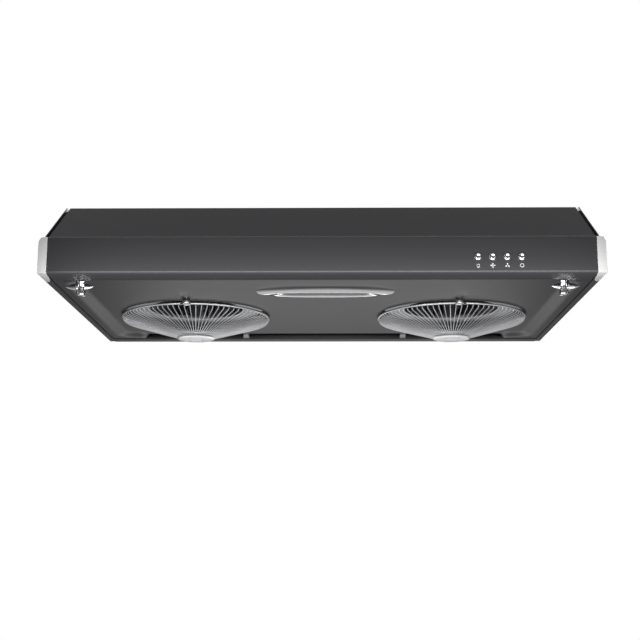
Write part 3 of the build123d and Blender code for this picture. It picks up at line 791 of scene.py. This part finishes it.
class MakeLamp(bpy.types.Operator):
    """Lamp: a raised boat-shaped chrome frame round a long window with a ribbed lens"""
    bl_idname = "hood.lamp"
    bl_label = "Lamp"

    def execute(self, context):
        low, high = span("lamp_bezel")
        c = (low + high) / 2
        length, depth = high[0] - low[0], high[1] - low[1]
        rise = high[2] - low[2]
        steps = 160
        a = np.linspace(0, 2 * pi, steps, endpoint=False)
        tx = np.cos(a)
        ox = tx * length / 2
        oy = np.sign(np.sin(a)) * boat_half(depth, tx)
        # the window is a superellipse, squarer along its length than across it
        wx = np.sign(np.cos(a)) * np.abs(np.cos(a)) ** (2 / 5) * LAMP_WINDOW[0] / 2
        wy = np.sign(np.sin(a)) * np.abs(np.sin(a)) ** (2 / 2.6) * LAMP_WINDOW[1] / 2
        # across the frame: v = 0 at the outer foot, 1 at the window's upper edge
        levels = [(0.0, 0.0), (0.03, 0.45), (0.12, 0.80), (0.30, 0.97), (0.50, 1.0), (0.72, 0.97),
                  (0.90, 0.84), (1.0, 0.6), (1.0, 0.0)]
        rows = []
        for v, h in levels:
            x = ox * (1 - v) + wx * v
            y = oy * (1 - v) + wy * v
            rows.append(np.stack([c[0] + x, c[1] + y, np.full(steps, high[2] - rise * h)], -1))
        p = np.stack(rows)
        faces = grid_faces(len(levels), steps, True, True)
        piece("lamp_frame", (p.reshape(-1, 3), faces), "drop_pan_assembly",
              chrome(), ["lamp_bezel"], 50.0)
        lens_low, lens_high = span("lamp_lens")
        inset, flat, belly = 0.985, 0.9, 0.0006
        ring_low = np.stack([c[0] + wx * inset, c[1] + wy * inset,
                             np.full(steps, lens_low[2])], -1)
        soft = np.stack([c[0] + wx * flat, c[1] + wy * flat,
                         np.full(steps, lens_low[2] - belly)], -1)
        ring_high = ring_low + np.array([0, 0, lens_high[2] - lens_low[2]])
        verts = np.concatenate([soft, ring_low, ring_high])
        faces = grid_faces(3, steps, False, True).tolist()
        faces.append(list(range(steps)))
        faces.append([2 * steps + j for j in range(steps)][::-1])
        piece("lamp_window", (verts, faces), "drop_pan_assembly", lamp_glass(),
              ["lamp_lens"], 60.0)
        return {"FINISHED"}


class MakeGuards(bpy.types.Operator):
    """Wire guards: an outer ring, bent spokes, a binding ring and a pressed hub"""
    bl_idname = "hood.guards"
    bl_label = "Wire guards"

    def execute(self, context):
        s = context.scene.hood_shape
        wire_r, lug_r, pin_r = 0.0015, 0.0025, 0.00155
        lug_x, tab_r, hub_hole_r, hub_hole_at = 0.0026, 0.006, 0.0018, 0.014
        for side, _ in SIDES:
            body = f"{side}_guard"
            c = GUARD_AT[side]
            ring_low, ring_high = span(f"{side}_guard_ring")
            ring_r = (ring_high[0] - ring_low[0]) / 2 - wire_r
            ring_z = RIM_Z + 0.003
            at = np.array([c[0], c[1], 0.0])
            a = np.linspace(0, 2 * pi, 180, endpoint=False)
            circle = np.stack([np.cos(a), np.sin(a), np.zeros_like(a)], -1)
            outer = tube(at + circle * ring_r + [0, 0, ring_z], wire_r, 12, True)
            lug_y = ring_high[1] - lug_r
            lug = placed(turned([(pin_r, -lug_x), (lug_r, -lug_x), (lug_r, lug_x),
                                 (pin_r, lug_x)], 24), (c[0], lug_y, ring_z),
                         Matrix.Rotation(radians(90), 4, "Y"))
            strap = block(about(c[0], lug_x), (c[1] + ring_r, lug_y - 0.0018),
                          about(ring_z, 0.0008))
            tab_y = ring_low[1]
            ta = np.linspace(pi, 2 * pi, 13)
            tab_xy = [(c[0] + tab_r, c[1] - ring_r), (c[0] - tab_r, c[1] - ring_r)]
            tab_xy += [(c[0] + tab_r * cos(q), tab_y + tab_r + tab_r * sin(q)) for q in ta]
            tab = slab(tab_xy, *about(ring_z, 0.0007))
            piece(f"{side}_guard_frame", together([outer, lug, strap, tab]), body,
                  plated_wire(), [f"{side}_guard_ring"], 40.0)
            hub_low, hub_high = span(f"{side}_guard_hub")
            hub_z = hub_low[2] + 0.002
            hub_r = (hub_high[0] - hub_low[0]) / 2
            line = rounded_path(
                [(ring_r, ring_z - 0.0021), (ring_r - 0.0016, ring_z - 0.0050),
                 (hub_r - 0.002, hub_z + s.wire)], [0.003], 6)
            line = np.concatenate([line[:-1], np.linspace(line[-2], line[-1], 4)[1:]])
            spoke = tube(np.stack([line[:, 0], np.zeros(len(line)), line[:, 1]], -1), s.wire, 6)
            turns = 2 * pi * (np.arange(s.spokes) + 0.5) / s.spokes
            piece(f"{side}_guard_spokes", placed(repeated(spoke, turns), at), body,
                  plated_wire(), [f"{side}_guard_wires"], 60.0)
            top = hub_high[2] - hub_z
            disc = [(0, -0.0014), (0.010, -0.0017), (hub_r - 0.0035, -0.0019),
                    (hub_r - 0.0012, -0.0016), (hub_r, -0.0008), (hub_r - 0.0002, -0.0001),
                    (hub_r - 0.0065, -0.0001), (hub_r - 0.0075, -0.0007), (0, -0.0007)]
            hub = mesh_object("hub", *placed(dome(disc, 64), (c[0], c[1], hub_z)))
            holes = []
            for k in range(4):
                q = radians(45 + 90 * k)
                hole_at = (c[0] + hub_hole_at * cos(q), c[1] + hub_hole_at * sin(q), hub_z)
                holes.append(mesh_object("hole", *placed(plug(hub_hole_r, 0.01, 20), hole_at)))
            cut(hub, *holes)
            piece(f"{side}_guard_disc", hub, body, plated_wire(),
                  [f"{side}_guard_hub"], 35.0)
            inner, outside, lip = hub_r - 0.0065, hub_r - 0.0040, top - 0.0008
            raised = [(inner, 0.0014), (inner, lip), (inner + 0.0007, top),
                      (outside - 0.0007, top), (outside, lip), (outside, 0.0014)]
            piece(f"{side}_guard_collar", placed(turned(raised, 64), (c[0], c[1], hub_z)), body,
                  plated_wire(), (), 40.0)
        return {"FINISHED"}


class MakeClips(bpy.types.Operator):
    """Thumbscrews that hold the guards: a domed head, a shank and a side tongue"""
    bl_idname = "hood.clips"
    bl_label = "Guard clips"

    def execute(self, context):
        for side, sign in SIDES:
            low, high = span(f"{side}_guard_clip")
            x = GUARD_AT[side][0]
            y = (low[1] + high[1]) / 2
            z = low[2]
            r = (high[1] - low[1]) / 2
            shank_r, head, reach = 0.0020, 0.0044, 0.0095
            profile = [(0, 0), (r * 0.35, 0.0001), (r * 0.65, 0.0006), (r * 0.88, 0.0015),
                       (r, 0.0028), (r, 0.0038), (r - 0.0006, head), (shank_r, head),
                       (shank_r, high[2] - z), (0, high[2] - z)]
            body = placed(dome(profile, 40), (x, y, z))
            tongue = block(sorted((x, x + sign * reach)), about(y, 0.0015),
                           (z + 0.0012, z + 0.0033))
            piece(f"{side}_thumbscrew", together([body, tongue]), f"{side}_clip",
                  zinc_fitting(), [f"{side}_guard_clip"], 40.0)
        return {"FINISHED"}


class MakeLatches(bpy.types.Operator):
    """Winged turn buttons: a turned spindle, two leaf-shaped wings and a cross rib"""
    bl_idname = "hood.latches"
    bl_label = "Wing latches"

    def execute(self, context):
        for side, sign in SIDES:
            low, high = span(f"{side}_wing_latch")
            x, y = LATCH_AT[side][:2]
            z0 = low[2]
            tall = high[2] - z0
            boss_r, neck_r, pin_r, hole_r = 0.0060, 0.0052, 0.0040, 0.0014
            spindle = [(0, 0), (0.0045, 0.0002), (0.0056, 0.0010), (boss_r, 0.0024),
                       (boss_r, 0.0085), (neck_r, 0.0092), (neck_r, 0.0180), (boss_r, 0.0190),
                       (boss_r, 0.0208), (pin_r, 0.0210), (pin_r, tall), (0, tall)]
            boss = mesh_object("boss", *placed(dome(spindle, 48), (x, y, z0)))
            cut(boss, mesh_object("hole", *placed(
                plug(hole_r, 0.01, 24), (x + sign * 0.004, y, z0 + 0.0047), FACE_FRONT)))
            parts = []
            # a wing is a lens-shaped section that shrinks to its tip
            u = np.linspace(-1, 1, 41)
            a = np.linspace(0, 2 * pi, 20, endpoint=False)
            reach = 0.019
            height = 0.0044 * (1 - np.abs(u) ** 3.0) + 0.0002
            thick = 0.0016 * (1 - 0.75 * np.abs(u) ** 2) + 0.0001
            wx = x + sign * LEAF_SHIFT + reach * u
            px = np.repeat(wx[:, None], len(a), 1)
            py = y + thick[:, None] * np.cos(a)[None]
            pz = z0 + 0.0135 + height[:, None] * np.sin(a)[None]
            grid = np.stack([px, py, pz], -1)
            faces = grid_faces(len(u), len(a), False, True).tolist()
            last = (len(u) - 1) * len(a)
            faces.append(list(range(len(a)))[::-1])
            faces.append(list(range(last, last + len(a))))
            parts.append((grid.reshape(-1, 3), faces))
            rib_x = x + sign * 0.0065
            parts.append(block(about(rib_x, 0.0008), about(y, 0.005), (z0 + 0.004, z0 + 0.0216)))
            bar_z = high[2] - 0.0014
            parts.append(block(about(x, 0.010), about(y, 0.0024), (bar_z, bar_z + 0.0013)))
            piece(f"{side}_latch_boss", boss, f"{side}_latch", zinc_fitting(),
                  (), 40.0)
            piece(f"{side}_turn_latch", together(parts), f"{side}_latch",
                  zinc_fitting(), [f"{side}_wing_latch"], 40.0)
        return {"FINISHED"}


class MakeWheels(bpy.types.Operator):
    """Blower wheels: curved blades between a back plate and a bottom ring"""
    bl_idname = "hood.wheels"
    bl_label = "Blower wheels"

    def execute(self, context):
        count = context.scene.hood_shape.blades
        blade_w, lap, half, plate_t, bore_r = 0.0135, 0.001, 0.0004, 0.0012, 0.004
        for side, sign in SIDES:
            low, high = span(f"{side}_fan_wheel")
            c = (low + high) / 2
            r1 = (high[0] - low[0]) / 2
            r0 = r1 - blade_w
            z0, z1 = low[2] + lap, high[2] - lap
            t = np.linspace(0, 1, 7)
            rr = r0 + (r1 - 0.0006 - r0) * t
            sweep = -sign * 0.115 * t ** 1.7
            inner = np.stack([rr * np.cos(sweep), rr * np.sin(sweep)], -1)
            run = np.gradient(inner, axis=0)
            run /= np.linalg.norm(run, axis=1, keepdims=True)
            normal = np.column_stack([run[:, 1], -run[:, 0]]) * half
            outline = np.concatenate([inner + normal, (inner - normal)[::-1]])
            blades = repeated(slab(outline, z0, z1), 2 * pi * np.arange(count) / count)
            plate, ring = (
                turned([(r, z), (r1, z), (r1, z + plate_t), (r, z + plate_t)], 96)
                for r, z in ((bore_r, high[2] - plate_t), (r0, low[2])))
            whole = together([placed(part, (c[0], c[1], 0)) for part in (blades, plate, ring)])
            piece(f"{side}_blower_wheel", whole,
                  f"{side}_wheel", wheel_steel(), [f"{side}_fan_wheel"], 35.0)
        return {"FINISHED"}


class PaintFrame(bpy.types.Operator):
    """Finishes for the frame's own nodes"""
    bl_idname = "hood.paint_frame"
    bl_label = "Frame finishes"

    def execute(self, context):
        for name, obj in frame["nodes"].items():
            finish = FINISHES[NODE_SLOT[name]]()
            obj.data.materials.clear()
            obj.data.materials.append(finish)
        return {"FINISHED"}


def standing(at, right, up, way):
    """The matrix of a camera or light that stands at a place and looks along way."""
    matrix = Matrix.Identity(4)
    for k in range(3):
        matrix[k][0], matrix[k][1], matrix[k][2] = right[k], up[k], -way[k]
        matrix[k][3] = at[k]
    return matrix


class MakeStage(bpy.types.Operator):
    """Pale floor, soft lights, white surround and the camera"""
    bl_idname = "hood.stage"
    bl_label = "Stage"

    def execute(self, context):
        s = context.scene.hood_studio
        reach, depth = 8, -2.6
        floor = mesh_object("floor", [(-reach, -reach, depth), (reach, -reach, depth),
                                      (reach, reach, depth), (-reach, reach, depth)],
                            [(0, 1, 2, 3)])
        floor.data.materials.append(surface("floor_paper", grey(0.80), grey(0.82), 0.8,
                                            grain=40.0, height=0.02))
        floor.visible_glossy = False
        world = bpy.data.worlds.new("studio")
        world.use_nodes = True
        context.scene.world = world
        tree = world.node_tree
        tree.nodes.clear()
        out = tree.nodes.new("ShaderNodeOutputWorld")
        mix = tree.nodes.new("ShaderNodeMixShader")
        seen = tree.nodes.new("ShaderNodeBackground")
        felt = tree.nodes.new("ShaderNodeBackground")
        path = tree.nodes.new("ShaderNodeLightPath")
        seen.inputs["Strength"].default_value = 1.0
        seen.inputs["Color"].default_value = (1, 1, 1, 1)
        felt.inputs["Strength"].default_value = s.surround
        coords = tree.nodes.new("ShaderNodeTexCoord")
        split = tree.nodes.new("ShaderNodeSeparateXYZ")
        tree.links.new(coords.outputs["Generated"], split.inputs["Vector"])
        walls = []
        for stops in (FRONT_WALL, BACK_WALL):
            height = tree.nodes.new("ShaderNodeMapRange")
            height.inputs["From Min"].default_value = -1.0
            tree.links.new(split.outputs["Z"], height.inputs["Value"])
            ramp = tree.nodes.new("ShaderNodeValToRGB")
            while len(ramp.color_ramp.elements) < len(stops):
                ramp.color_ramp.elements.new(0.5)
            for element, (degrees, value) in zip(ramp.color_ramp.elements, stops):
                element.position = (sin(radians(degrees)) + 1) / 2
                element.color = (value, value, value, 1)
            tree.links.new(height.outputs["Result"], ramp.inputs["Fac"])
            walls.append(ramp)
        side = tree.nodes.new("ShaderNodeMapRange")
        side.inputs["From Min"].default_value = -0.15
        side.inputs["From Max"].default_value = 0.15
        tree.links.new(split.outputs["Y"], side.inputs["Value"])
        blend = tree.nodes.new("ShaderNodeMix")
        blend.data_type = "RGBA"
        tree.links.new(side.outputs["Result"], blend.inputs["Factor"])
        tree.links.new(walls[0].outputs["Color"], blend.inputs["A"])
        tree.links.new(walls[1].outputs["Color"], blend.inputs["B"])
        tree.links.new(blend.outputs["Result"], felt.inputs["Color"])
        tree.links.new(path.outputs["Is Camera Ray"], mix.inputs["Fac"])
        tree.links.new(felt.outputs["Background"], mix.inputs[1])
        tree.links.new(seen.outputs["Background"], mix.inputs[2])
        tree.links.new(mix.outputs["Shader"], out.inputs["Surface"])

        def light(name, at, toward, size, power):
            data = bpy.data.lights.new(name, "AREA")
            data.shape = "RECTANGLE"
            data.size, data.size_y = size
            data.energy = power
            obj = bpy.data.objects.new(name, data)
            context.scene.collection.objects.link(obj)
            way = np.array(toward, float) - np.array(at, float)
            way /= np.linalg.norm(way)
            right = np.cross(way, [0, 0, 1.0])
            right /= np.linalg.norm(right)
            up = np.cross(right, way)
            obj.matrix_world = standing(at, right, up, way)
            obj.visible_camera = False
            return obj

        light("top_softbox", (0, -0.35, 1.3), (0, -0.2, 0), (3.0, 0.16), 14)
        floor_light = light("floor_light", (0, 0, 3.2), (0, 0, -1), (10.0, 10.0), 650)
        back_softbox = light("back_softbox", (0.3, 2.6, 1.1), (0, 0, 0), (3.0, 1.4), 70)
        side_softbox = light("side_softbox", (2.6, 0.9, 0.5), (0, 0, 0), (1.4, 1.4), 3.5)
        strip = light("fascia_strip", (0.02, -0.40, -0.175), (0.02, -0.3, -0.125), (0.78, 0.04),
                      1.15)
        rear = light("rear_panel", (0, 0.9, -0.62), (0, -0.1, -0.1), (0.95, 0.24), 1.7)
        front_parts = ["front_shell", "pressed_pan", "lamp_frame", "lamp_window"]
        linked = ((rear, "EXCLUDE", ["front_shell", "lamp_window"]),
                  (strip, "EXCLUDE", front_parts[1:]),
                  (floor_light, "INCLUDE", [floor.name]),
                  (back_softbox, "EXCLUDE", front_parts),
                  (side_softbox, "EXCLUDE", front_parts))
        for lamp, state, names in linked:
            lit = bpy.data.collections.new("receivers_of_" + lamp.name)
            for k, name in enumerate(names):
                lit.objects.link(bpy.data.objects[name])
                lit.collection_objects[k].light_linking.link_state = state
            lamp.light_linking.receiver_collection = lit

        camera_data = bpy.data.cameras.new("camera")
        camera_data.lens = s.lens
        camera_data.sensor_width = 36.0
        camera_data.clip_end = 50.0
        camera = bpy.data.objects.new("camera", camera_data)
        context.scene.collection.objects.link(camera)
        yaw, pitch, roll = s.camera_turn
        way = np.array([sin(yaw) * cos(pitch), cos(yaw) * cos(pitch), sin(pitch)])
        right = np.array([cos(yaw), -sin(yaw), 0.0])
        up = np.cross(right, way)
        right, up = cos(roll) * right + sin(roll) * up, -sin(roll) * right + cos(roll) * up
        camera.matrix_world = standing(s.camera_at, right, up, way)
        context.scene.camera = camera
        context.scene.view_settings.view_transform = "Standard"
        context.scene.view_settings.look = "None"
        return {"FINISHED"}


class HoodPanel(bpy.types.Panel):
    """Lists the hood's pieces"""
    bl_idname = "VIEW3D_PT_range_hood"
    bl_label = "Range hood"
    bl_space_type = "VIEW_3D"
    bl_region_type = "UI"
    bl_category = "Range Hood"

    def draw(self, context):
        for group in (context.scene.hood_finish, context.scene.hood_shape,
                      context.scene.hood_studio):
            box = self.layout.box()
            for name in group.bl_rna.properties.keys():
                if name not in ("rna_type", "name"):
                    box.prop(group, name)
        for operator in OPERATORS:
            self.layout.operator(operator.bl_idname)


OPERATORS = (PaintFrame, MakeFrontShell, MakeDropPan, MakeEndCaps, MakeButtons, MakeIcons,
             MakeLamp, MakeGuards, MakeClips, MakeLatches, MakeWheels, MakeStage)
GROUPS = {"hood_finish": HoodFinish, "hood_shape": HoodShape, "hood_studio": HoodStudio}


def register():
    for group in GROUPS.values():
        bpy.utils.register_class(group)
    for name, group in GROUPS.items():
        setattr(bpy.types.Scene, name, bpy.props.PointerProperty(type=group))
    for operator in OPERATORS:
        bpy.utils.register_class(operator)
    bpy.utils.register_class(HoodPanel)


def unregister():
    bpy.utils.unregister_class(HoodPanel)
    for operator in reversed(OPERATORS):
        bpy.utils.unregister_class(operator)
    for name in GROUPS:
        delattr(bpy.types.Scene, name)
    for group in GROUPS.values():
        bpy.utils.unregister_class(group)


def main():
    register()
    for operator in OPERATORS:
        group, name = operator.bl_idname.split(".")
        getattr(getattr(bpy.ops, group), name)()
    bpy.context.view_layer.update()


if __name__ == "__main__":
    main()
